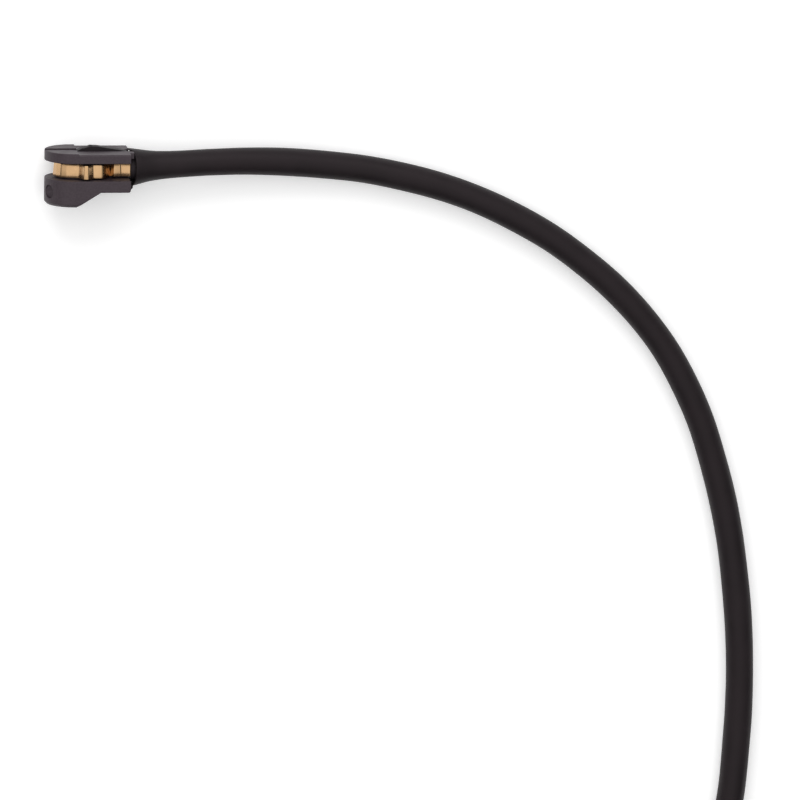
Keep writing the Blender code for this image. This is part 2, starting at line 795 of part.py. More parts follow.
def build_boot(finish):
    """The sleeve's flared end, open at both ends: its mouth slants, has a lip and clears the tab."""
    outer_line = [boot_axis(share) for share in BOOT_SHARES]
    outer = tube("end_boot", outer_line, [boot_radius(share) for share in BOOT_SHARES], HEAD, resolution=6)
    before = boot_axis(0.0) - Vector((FIT, 0.0, 0.0))
    inner_line = [before, *outer_line[1:-1], boot_axis(1.0 + FIT / FLANGE_BACK)]
    inner_radii = [boot_radius(share) - BOOT_WALL for share in BOOT_SHARES]
    boolean(outer, tube("boot_bore", inner_line, inner_radii, HEAD, resolution=6))
    flush = FLANGE_BACK + FIT
    lip = box(
        "lip", (FLANGE_BACK, SPIGOT_Y - BOOT_MOUTH - LIP_DROP, MIDDLE),
        (flush + LIP_LENGTH, SPIGOT_Y - BOOT_MOUTH + BOOT_WALL, MIDDLE + LIP_WIDTH), HEAD,
    )
    boolean(outer, lip, "UNION")
    mouth = [
        (flush, -FIT),
        (flush - BEYOND, -FIT),
        (flush - BEYOND, HEAD_WIDTH),
        (flush + MOUTH_SLANT, HEAD_WIDTH),
        (flush + MOUTH_SLANT, MIDDLE + BOOT_MOUTH),
        (flush, MIDDLE),
    ]
    boolean(outer, prism("mouth", mouth, -HEAD_WIDTH, 2 * HEAD_WIDTH, HEAD, ALONG_Y))
    boolean(outer, tab_box("tab_room", FIT))
    shade(outer, finish)


def build_sleeve(finish):
    points = smooth_line(ROUTE, 2 * SLEEVE)
    shade(tube("cable_sleeve", points, [SLEEVE / 2] * len(points), None, resolution=4), finish)


def add_latch(housing):
    """Arm rooted at the skirt's front edge, with a nib and a thumb rest, between two guards."""
    top = SKIRT_HEIGHT / 2
    low = top + LATCH_GAP
    high = low + LATCH_THICKNESS
    half = LATCH_WIDTH / 2
    root_end = LATCH_FRONT + LATCH_ROOT
    root = box("latch_root", (LATCH_FRONT, -half, top - FIT), (root_end, half, low + FIT), PLUG)
    boolean(housing, root, "UNION")
    arm = [
        (LATCH_FRONT, low),
        (LATCH_LENGTH, low),
        (LATCH_LENGTH, high + THUMB_HEIGHT),
        (LATCH_LENGTH - THUMB_LENGTH, high + THUMB_HEIGHT),
        (LATCH_LENGTH - THUMB_LENGTH - THUMB_SLOPE, high),
        (LATCH_FRONT + NIB_X + NIB_LENGTH, high),
        (LATCH_FRONT + NIB_X + NIB_LENGTH - NIB_BACK, high + NIB_HEIGHT),
        (LATCH_FRONT + NIB_X, high),
        (LATCH_FRONT + LATCH_CHAMFER, high),
        (LATCH_FRONT, high - LATCH_CHAMFER / 2),
    ]
    boolean(housing, prism("latch_arm", arm, -half, half, PLUG, UPRIGHT), "UNION")
    for side in (-1, 1):
        near = side * (half + GUARD_GAP)
        inner, outer = sorted((near, near + side * GUARD))
        back = LATCH_LENGTH - THUMB_LENGTH
        guard = box(f"guard_{side}", (LATCH_FRONT, inner, top - GUARD_SINK), (back, outer, high), PLUG)
        boolean(housing, guard, "UNION")


def skirt_hollow(margin):
    """Outline of the skirt's hollow, drawn in by a margin."""
    width = SKIRT_WIDTH - 2 * SKIRT_WALL - 2 * margin
    height = SKIRT_HEIGHT - 2 * SKIRT_WALL - 2 * margin
    return rounded_box(width, height, SKIRT_CORNER - SKIRT_WALL)


def bore_pair(piece, radius, low, high):
    """The same round hole for both contacts."""
    for side in (-1, 1):
        centre = (side * CONTACT_PITCH / 2, 0.0)
        name = f"{piece.name}_bore_{side}"
        boolean(piece, cylinder(name, radius, low, high, centre, PLUG, sides=24))


def build_skirt(finish):
    """Shroud round the contact carrier, pushed over the housing's collar, with the latch on top."""
    outer = rounded_box(SKIRT_WIDTH, SKIRT_HEIGHT, SKIRT_CORNER)
    skirt = prism("plug_skirt", outer, 0.0, SKIRT_LENGTH, PLUG, ALONG_X)
    boolean(skirt, prism("skirt_hollow", skirt_hollow(0.0), -BEYOND, SKIRT_LENGTH + BEYOND, PLUG, ALONG_X))
    add_latch(skirt)
    shade(soften(skirt, EDGE, segments=1), finish)


def build_carrier(finish):
    """Tower that holds the front of the contacts, with a window for each pin."""
    outline = rounded_box(TOWER_WIDTH, TOWER_HEIGHT, TOWER_CORNER)
    carrier = prism("contact_carrier", outline, TOWER_SET_BACK, SKIRT_BACK - FIT, PLUG, ALONG_X)
    window = TOWER_SET_BACK + WINDOW_DEPTH
    bore_pair(carrier, PIN_WINDOW, -BEYOND, window + FIT)
    bore_pair(carrier, CONTACT_BORE, window, SKIRT_BACK + BEYOND)
    shade(soften(carrier, EDGE, segments=1), finish)


def build_housing(finish):
    """Rear body behind a collar that closes the skirt, with the contacts' bores and the lock's slot."""
    housing = prism("plug_housing", skirt_hollow(FIT), SKIRT_BACK, SKIRT_LENGTH, PLUG, ALONG_X)
    body = rounded_box(BODY_WIDTH, BODY_HEIGHT, BODY_CORNER)
    boolean(housing, prism("body", body, SKIRT_BACK + FIT, BODY_LENGTH, PLUG, ALONG_X), "UNION")
    seat = BODY_LENGTH - SEAL_LENGTH - FIT
    bore_pair(housing, CONTACT_BORE, SKIRT_BACK - BEYOND, seat + FIT)
    bore_pair(housing, SEAL_BORE, seat, BODY_LENGTH + BEYOND)
    slot = box(
        "lock_slot", (LOCK_X - FIT, -LOCK_WIDTH / 2 - FIT, NECK_RADIUS),
        (LOCK_X + LOCK_LENGTH + FIT, LOCK_WIDTH / 2 + FIT, BODY_HEIGHT), PLUG,
    )
    boolean(housing, slot)
    shade(soften(housing, EDGE, segments=1), finish)


def build_lock(finish):
    """Bar across the rear body that holds the contacts by their necks."""
    lock = box(
        "contact_lock", (LOCK_X, -LOCK_WIDTH / 2, NECK_RADIUS + FIT),
        (LOCK_X + LOCK_LENGTH, LOCK_WIDTH / 2, BODY_HEIGHT / 2 + LOCK_RISE), PLUG,
    )
    shade(soften(lock, EDGE, segments=1), finish)


def build_nose_seal(finish):
    """Ribbed ring round the tower, at the bottom of the skirt."""
    high = SKIRT_BACK - FIT
    start = high - NOSE_SEAL_LENGTH
    seal = prism("interface_seal", skirt_hollow(NOSE_SEAL_WALL), start, high, PLUG, ALONG_X)
    rib = skirt_hollow(FIT)
    for index in range(2):
        low = start + RIB_START + index * RIB_PITCH
        boolean(seal, prism(f"rib_{index}", rib, low, low + RIB_LENGTH, PLUG, ALONG_X), "UNION")
    hole = rounded_box(TOWER_WIDTH + 2 * FIT, TOWER_HEIGHT + 2 * FIT, TOWER_CORNER + FIT)
    boolean(seal, prism("seal_hole", hole, start - BEYOND, high + BEYOND, PLUG, ALONG_X))
    shade(seal, finish)


def build_contact(number, across, finish):
    """Box of the socket contact, its neck under the lock and its wire crimp."""
    front = TOWER_SET_BACK + WINDOW_DEPTH + FIT
    box_end = LOCK_X - FIT
    crimp_low = LOCK_X + LOCK_LENGTH + FIT
    crimp_high = BODY_LENGTH - SEAL_LENGTH - FIT
    half = CONTACT_BOX / 2
    centre = (across, 0.0)
    name = f"plug_contact_{number}"
    contact = box(name, (front, across - half, -half), (box_end, across + half, half), PLUG)
    bars = [
        ("neck", NECK_RADIUS - FIT, box_end - FIT, crimp_low + FIT),
        ("crimp", NECK_RADIUS + FIT / 2, crimp_low, crimp_high),
    ]
    for name, radius, low, high in bars:
        boolean(contact, cylinder(f"{name}_{number}", radius, low, high, centre, PLUG, sides=16), "UNION")
    socket = cylinder(
        f"socket_{number}", PIN_WINDOW - FIT, front - BEYOND, front + SOCKET_DEPTH, centre, PLUG, sides=16,
    )
    boolean(contact, socket)
    shade(contact, finish)


def build_wire_seal(number, across, finish):
    """Small round seal with two ridges, between the wire and the housing's bore."""
    low = BODY_LENGTH - SEAL_LENGTH
    high = BODY_LENGTH - FIT
    hole = WIRE / 2 + FIT
    crest = SEAL_BORE - FIT
    base = crest - FIT
    whole = RIDGE_LENGTH + 2 * RIDGE_SLOPE
    profile = [(low, hole), (low, base)]
    for start in (low + RIDGE_START, high - RIDGE_START - whole):
        profile += [
            (start, base),
            (start + RIDGE_SLOPE, crest),
            (start + RIDGE_SLOPE + RIDGE_LENGTH, crest),
            (start + whole, base),
        ]
    profile += [(high, base), (high, hole)]
    shade(turned(f"wire_seal_{number}", profile, PLUG, sides=20, across=across), finish)


def build_plug_lead(number, side, across, finish):
    """Wire from its contact through the cap's gate, closing on the other wire at the sleeve."""
    inside = side * WIRE_PITCH / 2
    splayed = side * (CAP_NECK_RADIUS - CAP_NECK_WALL - WIRE / 2 - 2 * FIT)
    line = [
        (BODY_LENGTH - SEAL_LENGTH, across, 0.0),
        (BODY_LENGTH, across, 0.0),
        (PLUG_BOOT_START + LEAD_SPLAY, splayed, 0.0),
        (PLUG_BOOT_START + LEAD_CLOSING - 2 * WIRE, (inside + splayed) / 2, 0.0),
        (PLUG_BOOT_START + LEAD_CLOSING, inside, 0.0),
        (SLEEVE_SEAT - FIT, inside, 0.0),
    ]
    points = smooth_line(line, WIRE)
    shade(tube(f"plug_lead_{number}", points, [WIRE / 2] * len(points), PLUG), finish)


def build_rear_cap(finish):
    """Cup over the rear body, with a round neck for the rubber boot."""
    width = BODY_WIDTH + 2 * FIT
    height = BODY_HEIGHT + 2 * FIT
    start = PLUG_BOOT_START - CAP_LENGTH
    neck_end = PLUG_BOOT_START + CAP_NECK_LENGTH
    outer = rounded_box(width + 2 * CAP_WALL, height + 2 * CAP_WALL, BODY_CORNER + FIT + CAP_WALL)
    inner = rounded_box(width, height, BODY_CORNER + FIT)
    cap = prism("rear_cap", outer, start, PLUG_BOOT_START - FIT, PLUG, ALONG_X)
    boolean(cap, prism("cap_hollow", inner, start - BEYOND, BODY_LENGTH + FIT, PLUG, ALONG_X))
    root = PLUG_BOOT_START - 2 * FIT
    boolean(cap, cylinder("cap_neck", CAP_NECK_RADIUS, root, neck_end, (0.0, 0.0), PLUG, sides=36), "UNION")
    bore = CAP_NECK_RADIUS - CAP_NECK_WALL
    start = BODY_LENGTH + FIT + CAP_WALL
    boolean(cap, cylinder("neck_bore", bore, start, neck_end + BEYOND, (0.0, 0.0), PLUG, sides=36))
    tall = WIRE + 4 * FIT
    gate = rounded_box(CONTACT_PITCH + tall, tall, tall / 2)
    boolean(cap, prism("wire_gate", gate, BODY_LENGTH - BEYOND, start + FIT, PLUG, ALONG_X))
    soften(cap, EDGE, segments=1)
    shade(cap, finish)


def build_plug_boot(finish):
    """Ribbed rubber boot from the cap's neck down to the sleeve."""
    seat = PLUG_BOOT_START + CAP_NECK_LENGTH
    end = PLUG_BOOT_START + PLUG_BOOT_LENGTH
    neck = CAP_NECK_RADIUS + FIT
    wide = neck + PLUG_BOOT_WALL
    bore = SLEEVE / 2 + FIT
    profile = [(PLUG_BOOT_START, neck), (PLUG_BOOT_START, wide), (seat, wide)]
    pitch = (end - PLUG_BOOT_RIM - seat) / PLUG_BOOT_RIBS
    for index in range(PLUG_BOOT_RIBS):
        crown = wide + (PLUG_BOOT_END + FIT - wide) * (index + 0.5) / PLUG_BOOT_RIBS
        for share, grooved in GROOVE_SHAPE:
            profile.append((seat + pitch * (index + share), crown - grooved * PLUG_BOOT_GROOVE))
    profile += [
        (end - PLUG_BOOT_RIM, PLUG_BOOT_END),
        (end, PLUG_BOOT_END - FIT),
        (end, bore),
        (seat + FIT, bore),
        (seat + FIT, neck),
    ]
    shade(turned("plug_boot", profile, PLUG), finish)


def build_plug(black, housing, tin, lock, seal):
    """All the pieces of the plug, front to back."""
    build_skirt(housing)
    build_carrier(housing)
    build_housing(housing)
    build_lock(lock)
    build_nose_seal(seal)
    for number, side in ((1, -1), (2, 1)):
        across = side * CONTACT_PITCH / 2
        build_contact(number, across, tin)
        build_wire_seal(number, across, seal)
        build_plug_lead(number, side, across, black)
    build_rear_cap(housing)
    build_plug_boot(black)


def main():
    bpy.context.view_layer.update()
    grey = material("moulded_grey", (0.062, 0.056, 0.060), 0.55)
    black = material("black_sleeve", (0.018, 0.016, 0.017), 0.45)
    brass = material("brass", (0.62, 0.42, 0.25), 0.38, 1.0)
    tin = material("tinned", (0.70, 0.69, 0.66), 0.35, 1.0)
    copper = material("copper", (0.72, 0.36, 0.22), 0.35, 1.0)
    housing = material("plug_black", (0.025, 0.024, 0.025), 0.5)
    lock = material("lock_white", (0.62, 0.60, 0.55), 0.5)
    seal = material("seal_rubber", (0.26, 0.10, 0.05), 0.6)
    build_head(grey)
    build_neck_seal(black)
    build_slot_sealant(black)
    build_clip(brass)
    build_wires(black, copper, tin)
    build_boot(black)
    build_sleeve(black)
    build_plug(black, housing, tin, lock, seal)


main()
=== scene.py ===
"""Looks of the brake pad wear sensor: camera, floor, soft studio light, finishes and finer surfaces.

Metres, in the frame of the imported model. The head lies on its flat side with its nose towards
-X and its top flange towards +Y. The sleeved lead goes round over the floor to its plug.
"""

import math

import bmesh
import bpy
from mathutils import Matrix, Vector


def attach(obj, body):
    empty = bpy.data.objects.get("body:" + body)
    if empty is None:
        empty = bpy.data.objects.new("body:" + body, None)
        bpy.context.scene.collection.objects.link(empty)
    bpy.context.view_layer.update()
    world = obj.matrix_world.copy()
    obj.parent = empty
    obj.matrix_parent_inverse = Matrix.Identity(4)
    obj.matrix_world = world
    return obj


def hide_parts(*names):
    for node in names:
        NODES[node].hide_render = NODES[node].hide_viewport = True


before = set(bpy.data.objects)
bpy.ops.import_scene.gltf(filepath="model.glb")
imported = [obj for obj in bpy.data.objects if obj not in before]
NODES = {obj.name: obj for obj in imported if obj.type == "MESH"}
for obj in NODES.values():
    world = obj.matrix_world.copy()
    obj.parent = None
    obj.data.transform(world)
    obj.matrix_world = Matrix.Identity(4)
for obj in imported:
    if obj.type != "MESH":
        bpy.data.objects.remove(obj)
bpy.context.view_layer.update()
BODY = "root"

# Camera: seen from above, tipped towards the top flange and the nose
AIM = (0.060775, -0.045013, 0.003)
CAMERA_DISTANCE = 2.0
CAMERA_LENS = 450  # millimetres, as the sensor
CAMERA_SENSOR = 36
TIP_UP = math.radians(11.4495)
TIP_LEFT = math.radians(-6.7016)
ROLL = math.radians(0.9805)

# Light: the room's strength rises from ROOM_DARK to ROOM_PALE while the part of a direction
# that goes towards PALE_SIDE rises from ROOM_LOW to ROOM_HIGH
PALE_SIDE = (-0.15, 0.25, 0.96)
ROOM_LOW = 0.22
ROOM_HIGH = 0.9
ROOM_DARK = 0.05
ROOM_PALE = 1.3
REAR_AT = (-0.1, 1.1, 0.8)
REAR_AIM = (0.06, -0.06, 0.0)
REAR_SIZE = (1.2, 0.7)
REAR_POWER = 6.8  # watts
FLOOR_SIZE = 4.0
FLOOR_PARTS = 8
FLOOR_GLOW = 0.24  # lifts the lit floor to near-white

# Finishes
WARM = (1.0, 0.88, 0.92, 1.0)  # tint of the reflections on plastic and rubber
NOISE_LOW = 0.3  # most of a noise node's values lie between these two
NOISE_HIGH = 0.7

# The sleeve's middle line over the floor, from the flared end to the plug
ROUTE = [
    (0.0211, 0.0038, 0.00512),
    (0.0288, 0.0039, 0.00450),
    (0.0369, 0.0036, 0.00383),
    (0.0449, 0.0029, 0.00326),
    (0.0529, 0.0019, 0.00290),
    (0.0608, 0.0003, 0.00282),
    (0.0686, -0.0018, 0.00282),
    (0.0762, -0.0046, 0.00282),
    (0.0835, -0.0081, 0.00282),
    (0.0906, -0.0122, 0.00282),
    (0.0972, -0.0170, 0.00282),
    (0.1034, -0.0223, 0.00282),
    (0.1091, -0.0283, 0.00282),
    (0.1141, -0.0349, 0.00282),
    (0.1182, -0.0421, 0.00282),
    (0.1216, -0.0496, 0.00282),
    (0.1242, -0.0575, 0.00282),
    (0.1264, -0.0655, 0.00282),
    (0.1281, -0.0736, 0.00282),
    (0.1293, -0.0818, 0.00282),
    (0.1302, -0.0900, 0.00282),
    (0.1307, -0.0983, 0.00282),
    (0.1308, -0.1066, 0.00282),
    (0.1305, -0.1148, 0.00282),
    (0.1294, -0.1282, 0.00282),
    (0.1265, -0.1402, 0.00282),
    (0.1213, -0.1500, 0.00282),
    (0.1138, -0.1568, 0.00282),
    (0.1055, -0.1597, 0.00282),
    (0.0985, -0.1602, 0.00310),
    (0.0920, -0.1602, 0.00430),
    (0.0862, -0.1602, 0.00525),
    (0.0820, -0.1602, 0.00550),
    (0.0770, -0.1602, 0.00550),
    (0.0725, -0.1602, 0.00550),
]
CURVE_STEPS = 24  # points between two of a curve's knots, before they are spaced evenly

# Head, in its own frame: X from the nose arc's centre, Y from the lower flange's inner face
FIT = 0.0003  # clearance of loose pieces
TIGHT = 0.00005  # clearance of snug ones
HEAD_WIDTH = 0.0115
MIDDLE = HEAD_WIDTH / 2
FLANGE_BACK = 0.011
LOWER_FLANGE = 0.0023
PLATE_GAP = 0.0035
HEAD_AT = Vector((-FLANGE_BACK / 2, LOWER_FLANGE / 2, 0.0))

# Sleeve and its flared end; a reach is a share of the flared end's length
SLEEVE = 0.0056
SLEEVE_SIDES = 64
SLEEVE_STEP = 0.0013
SLEEVE_WAVE = 0.00002
SLEEVE_WAVE_LENGTH = 0.024
NECK_RECOVERY = 0.016  # length over which the sleeve comes back to its full thickness
SPIGOT_Y = 0.0019
BOOT_WALL = 0.0006
BOOT_MOUTH = 0.00378
BOOT_NECK = 0.00265
BOOT_STEPS = 12  # points of the cord's path along the flared end
FLARE_REACH = 0.25
FLARE_POWER = 1.38
FLARE_STEPS = 44
FLARE_SPACING = 1.3  # power that brings the rings closer together towards the mouth
DROP_POWER = 1.7
MOUTH_DEPTH = 0.003
MOUTH_STEPS = 3
MOUTH_EDGE_STEPS = 6
MOUTH_SLANT = 0.0009  # how far the mouth's upper side stands back from the head
SLANT_REACH = 0.35

# Tongue of the mouth, which laps over the rails' end: it thins and grows between the two
# values of how far a place on the mouth points to +Y
TONGUE = 0.0007
TONGUE_WALL = 0.0003
TONGUE_THINS = (0.88, 0.96)
TONGUE_GROWS = (0.94, 0.985)
TONGUE_REACH = 0.15

# Small lip beside the mouth: (X, Y) of its outline, from the head's end and its own low side
LIP = [(0.0, 0.0), (0.0003, 0.0), (0.0006, 0.0003), (0.0007, 0.0009), (0.0, 0.0009)]
LIP_DROP = 0.0004
LIP_WIDTH = 0.0022

# Spring strip: (X, distance from the middle) of its outer corners, each with the radius of its
# bend, from the free end to the bend round the core
STRIP = 0.0003
STRIP_LOW = 0.00033  # height of its lower edge over the lower flange
STRIP_PLAY = 0.00045  # room between its upper edge and the top flange
STRIP_EDGE = 0.00006
STRIP_LEAN = 0.09  # it leans inward towards the top flange, by this share of its height
SPRING = [
    ((0.01115, 0.00190), 0.0),
    ((0.00940, 0.00160), 0.0002),
    ((0.00920, 0.00174), 0.0002),
    ((0.00792, 0.00198), 0.0002),
    ((0.00730, 0.00115), 0.0001),
    ((0.00558, 0.00425), 0.0009),
    ((0.00360, 0.00425), 0.0005),
    ((0.00250, 0.00545), 0.0004),
    ((0.00170, 0.00525), 0.0004),
    ((0.00090, 0.00365), 0.0004),
    ((-0.00160, 0.00300), 0.0005),
    ((-0.00264, 0.00245), 0.0011),
    ((-0.00345, 0.00135), 0.0007),
    ((-0.00400, 0.0), 0.0006),
]
BEND_STEPS = 8

# Plug in the nose's round hole
HOLE_ANGLE = math.radians(29)
HOLE_Y = -0.0025
PLUG_RADIUS = 0.00134
PLUG_SUNK = 0.00065  # depth of its face's middle
PLUG_SLANT = 0.00045  # how much deeper its upper side lies than the middle
PLUG_DEEP = 0.00115
PLUG_SIDES = 40
PLUG_EDGE = 0.00008
PLUG_ANGLE = math.radians(30)

# Wires over the top flange, and the black compound that they are bedded in, which also fills the slot
# under their arch as painted shade: (X, Y) of its crown
WIRE = 0.0008
WIRE_SIDES = 20
WIRE_PITCH = WIRE + FIT
SLOT_FLOOR = 0.00403
WELL = [(0.001, 0.0002), (0.001, 0.0030)]
CROWN = [
    (0.00035, 0.00480),
    (0.00060, 0.00530),
    (0.00160, 0.00582),
    (0.00290, 0.00613),
    (0.00390, 0.00625),
    (0.00460, 0.00622),
    (0.00570, 0.00605),
    (0.00700, 0.00583),
    (0.00930, 0.00548),
    (0.01050, 0.00520),
    (0.01070, 0.00490),
]
WIRE_CROWN = CROWN[3:-1]  # the part of the crown that the wires follow
WIRE_TAIL = [
    (0.0120, 0.00425),
    (0.0131, 0.00393),
    (0.0148, 0.00320),
    (0.0170, 0.00260),
]
COMPOUND_AND_SHADE_SIDE = 0.00003
COMPOUND_AND_SHADE_EDGE = 0.00012
COMPOUND_AND_SHADE_ANGLE = math.radians(50)

EDGE_PARTS = 3
SHORT = 1e-6


def add(name, mesh, material):
    obj = bpy.data.objects.new(name, mesh)
    bpy.context.scene.collection.objects.link(obj)
    mesh.materials.append(material)
    return obj


def turns(count):
    """Angles at an even spacing round a circle."""
    return [2 * math.pi * step / count for step in range(count)]


def circle(place, radius, side, other, count):
    """Points round a place, in the plane of two directions."""
    return [place + radius * (math.cos(turn) * side + math.sin(turn) * other) for turn in turns(count)]


def soften(obj, width, angle):
    """Rounds the edges that turn by more than an angle."""
    bevel = obj.modifiers.new("edges", "BEVEL")
    bevel.width = width
    bevel.segments = EDGE_PARTS
    bevel.limit_method = "ANGLE"
    bevel.angle_limit = angle


def soft_step(value, low, high):
    """Goes smoothly from 0 to 1 while the value goes from low to high."""
    share = min(max((value - low) / (high - low), 0.0), 1.0)
    return share * share * (3 - 2 * share)


def smooth_line(points, spacing):
    """Points at an even spacing on a smooth curve through the given ones."""
    knots = [Vector(point) for point in points]
    knots = [knots[0] * 2 - knots[1], *knots, knots[-1] * 2 - knots[-2]]
    dense = []
    for p0, p1, p2, p3 in zip(knots, knots[1:], knots[2:], knots[3:]):
        for step in range(CURVE_STEPS):
            t = step / CURVE_STEPS
            dense.append(
                0.5 * (2 * p1 + (p2 - p0) * t + (2 * p0 - 5 * p1 + 4 * p2 - p3) * t * t
                       + (3 * p1 - p0 - 3 * p2 + p3) * t ** 3)
            )
    dense.append(knots[-2])
    lengths = [0.0]
    for first, second in zip(dense, dense[1:]):
        lengths.append(lengths[-1] + (second - first).length)
    count = max(2, round(lengths[-1] / spacing))
    line = []
    index = 0
    for step in range(count + 1):
        goal = lengths[-1] * step / count
        while index < len(lengths) - 2 and lengths[index + 1] < goal:
            index += 1
        share = (goal - lengths[index]) / max(lengths[index + 1] - lengths[index], SHORT)
        line.append(dense[index].lerp(dense[index + 1], min(share, 1.0)))
    return line


class Skin:
    """A mesh of lofts, tubes and prisms, closed at their ends."""

    def __init__(self, name):
        self.mesh = bpy.data.meshes.new(name)
        self.shape = bmesh.new()
        self.uv = self.shape.loops.layers.uv.new("along")

    def loft(self, rings, lengths):
        """Rings of points, each joined to the next, with their lengths along the form as UV."""
        made = [[self.shape.verts.new(point) for point in ring] for ring in rings]
        count = len(rings[0])
        for first, second, low, high in zip(made, made[1:], lengths, lengths[1:]):
            for step in range(count):
                after = (step + 1) % count
                face = self.shape.faces.new((first[step], first[after], second[after], second[step]))
                face.smooth = True
                places = ((step, low), (step + 1, low), (step + 1, high), (step, high))
                for loop, (around, length) in zip(face.loops, places):
                    loop[self.uv].uv = (around / count, length)
        self.shape.faces.new(made[0])
        self.shape.faces.new(made[-1])

    def tube(self, line, radius, sides):
        """A round bar along a line."""
        rings = []
        lengths = [0.0]
        side = Vector((0.0, 0.0, 1.0))
        for index, place in enumerate(line):
            way = (line[min(index + 1, len(line) - 1)] - line[max(index - 1, 0)]).normalized()
            side = (side - way * side.dot(way)).normalized()
            rings.append(circle(place, radius, side, way.cross(side), sides))
            if index:
                lengths.append(lengths[-1] + (place - line[index - 1]).length)
        self.loft(rings, lengths)

    def prism(self, outline, low, high):
        """An outline in X and Y, made solid from low to high in Z."""
        front = [self.shape.verts.new((x, y, high)) for x, y in outline]
        back = [self.shape.verts.new((x, y, low)) for x, y in outline]
        self.shape.faces.new(front)
        self.shape.faces.new(back)
        count = len(outline)
        for step in range(count):
            after = (step + 1) % count
            self.shape.faces.new((front[step], front[after], back[after], back[step]))

    def finish(self, material):
        bmesh.ops.recalc_face_normals(self.shape, faces=self.shape.faces)
        self.shape.to_mesh(self.mesh)
        self.shape.free()
        return add(self.mesh.name, self.mesh, material)


# Materials


class Finish:
    """A material's node tree, with short calls for the nodes that the finishes share."""

    def __init__(self, name):
        self.material = bpy.data.materials.new(name)
        self.material.use_nodes = True
        self.tree = self.material.node_tree
        self.shader = self.tree.nodes["Principled BSDF"]
        place = self.tree.nodes.new("ShaderNodeTexCoord")
        self.place = place.outputs["Object"]
        self.along = place.outputs["UV"]

    def link(self, source, target):
        self.tree.links.new(source, target)

    def feed(self, source, name):
        self.link(source, self.shader.inputs[name])

    def set(self, name, value):
        self.shader.inputs[name].default_value = value

    def stretched(self, place, scale):
        mapping = self.tree.nodes.new("ShaderNodeMapping")
        mapping.inputs["Scale"].default_value = scale
        self.link(place, mapping.inputs["Vector"])
        return mapping.outputs["Vector"]

    def noise(self, scale, detail=3.0, roughness=0.5, place=None):
        node = self.tree.nodes.new("ShaderNodeTexNoise")
        node.inputs["Scale"].default_value = scale
        node.inputs["Detail"].default_value = detail
        node.inputs["Roughness"].default_value = roughness
        self.link(place or self.place, node.inputs["Vector"])
        return node.outputs["Fac"]

    def ramp(self, factor, low, high, start=0.35, end=0.65):
        node = self.tree.nodes.new("ShaderNodeValToRGB")
        first, last = node.color_ramp.elements
        first.position, last.position = start, end
        first.color, last.color = (*low, 1.0), (*high, 1.0)
        self.link(factor, node.inputs["Fac"])
        return node.outputs["Color"]

    def spread(self, factor, low, high):
        node = self.tree.nodes.new("ShaderNodeMapRange")
        node.inputs["From Min"].default_value = NOISE_LOW
        node.inputs["From Max"].default_value = NOISE_HIGH
        node.inputs["To Min"].default_value = low
        node.inputs["To Max"].default_value = high
        self.link(factor, node.inputs["Value"])
        return node.outputs["Result"]

    def bump(self, height, distance, strength=1.0, normal=None):
        node = self.tree.nodes.new("ShaderNodeBump")
        node.inputs["Distance"].default_value = distance
        node.inputs["Strength"].default_value = strength
        self.link(height, node.inputs["Height"])
        if normal:
            self.link(normal, node.inputs["Normal"])
        return node.outputs["Normal"]

    def round_edges(self, radius):
        node = self.tree.nodes.new("ShaderNodeBevel")
        node.samples = 6
        node.inputs["Radius"].default_value = radius
        return node.outputs["Normal"]


def moulded(name, dark, light, roughness, specular=0.35, edge=0.00008):
    """Glass-filled moulding: fine mottle, a slight cloudiness and softened edges."""
    finish = Finish(name)
    mottle = finish.noise(scale=2600, detail=4.0, roughness=0.65)
    cloud = finish.noise(scale=320, detail=2.0)
    finish.feed(finish.ramp(mottle, dark, light), "Base Color")
    finish.feed(finish.spread(cloud, roughness - 0.05, roughness + 0.07), "Roughness")
    grain = finish.noise(scale=5200, roughness=0.6)
    normal = finish.bump(cloud, distance=0.00002, strength=0.5, normal=finish.round_edges(edge))
    finish.feed(finish.bump(grain, distance=0.000008, strength=0.6, normal=normal), "Normal")
    finish.set("Specular IOR Level", specular)
    finish.set("Specular Tint", WARM)
    return finish.material


def sleeve_rubber():
    """Extruded black sleeve: faint lines along it, dusty patches and a satin gloss."""
    finish = Finish("black_sleeve")
    lines = finish.noise(scale=1.0, place=finish.stretched(finish.along, (150.0, 9.0, 1.0)))
    patches = finish.noise(scale=140, roughness=0.6)
    grain = finish.noise(scale=4200, roughness=0.6)
    finish.feed(finish.ramp(patches, (0.0100, 0.0076, 0.0086), (0.0138, 0.0104, 0.0118)), "Base Color")
    finish.feed(finish.spread(patches, 0.46, 0.58), "Roughness")
    normal = finish.bump(lines, distance=0.00005, strength=0.3)
    finish.feed(finish.bump(grain, distance=0.00001, strength=0.6, normal=normal), "Normal")
    finish.set("Specular IOR Level", 0.19)
    finish.set("Specular Tint", WARM)
    return finish.material


def rubber(name, dark, light, roughness, specular=0.2):
    """Even rubber with faint patches and a fine grain."""
    finish = Finish(name)
    patches = finish.noise(scale=400)
    grain = finish.noise(scale=4500, roughness=0.6)
    finish.feed(finish.ramp(patches, dark, light), "Base Color")
    finish.feed(finish.spread(patches, roughness - 0.04, roughness + 0.06), "Roughness")
    finish.feed(finish.bump(grain, distance=0.00001, strength=0.6), "Normal")
    finish.set("Specular IOR Level", specular)
    finish.set("Specular Tint", WARM)
    return finish.material


def rolled_brass():
    """Brass strip with fine rolling lines along its length and a light tarnish."""
    finish = Finish("rolled_brass")
    rolled = finish.noise(scale=1.0, place=finish.stretched(finish.along, (60.0, 900.0, 1.0)))
    tarnish = finish.noise(scale=420, roughness=0.6)
    finish.feed(finish.ramp(tarnish, (0.485, 0.308, 0.160), (0.54, 0.345, 0.182)), "Base Color")
    finish.feed(finish.spread(rolled, 0.17, 0.24), "Roughness")
    finish.feed(finish.bump(rolled, distance=0.000004, strength=0.4), "Normal")
    finish.set("Metallic", 1.0)
    return finish.material


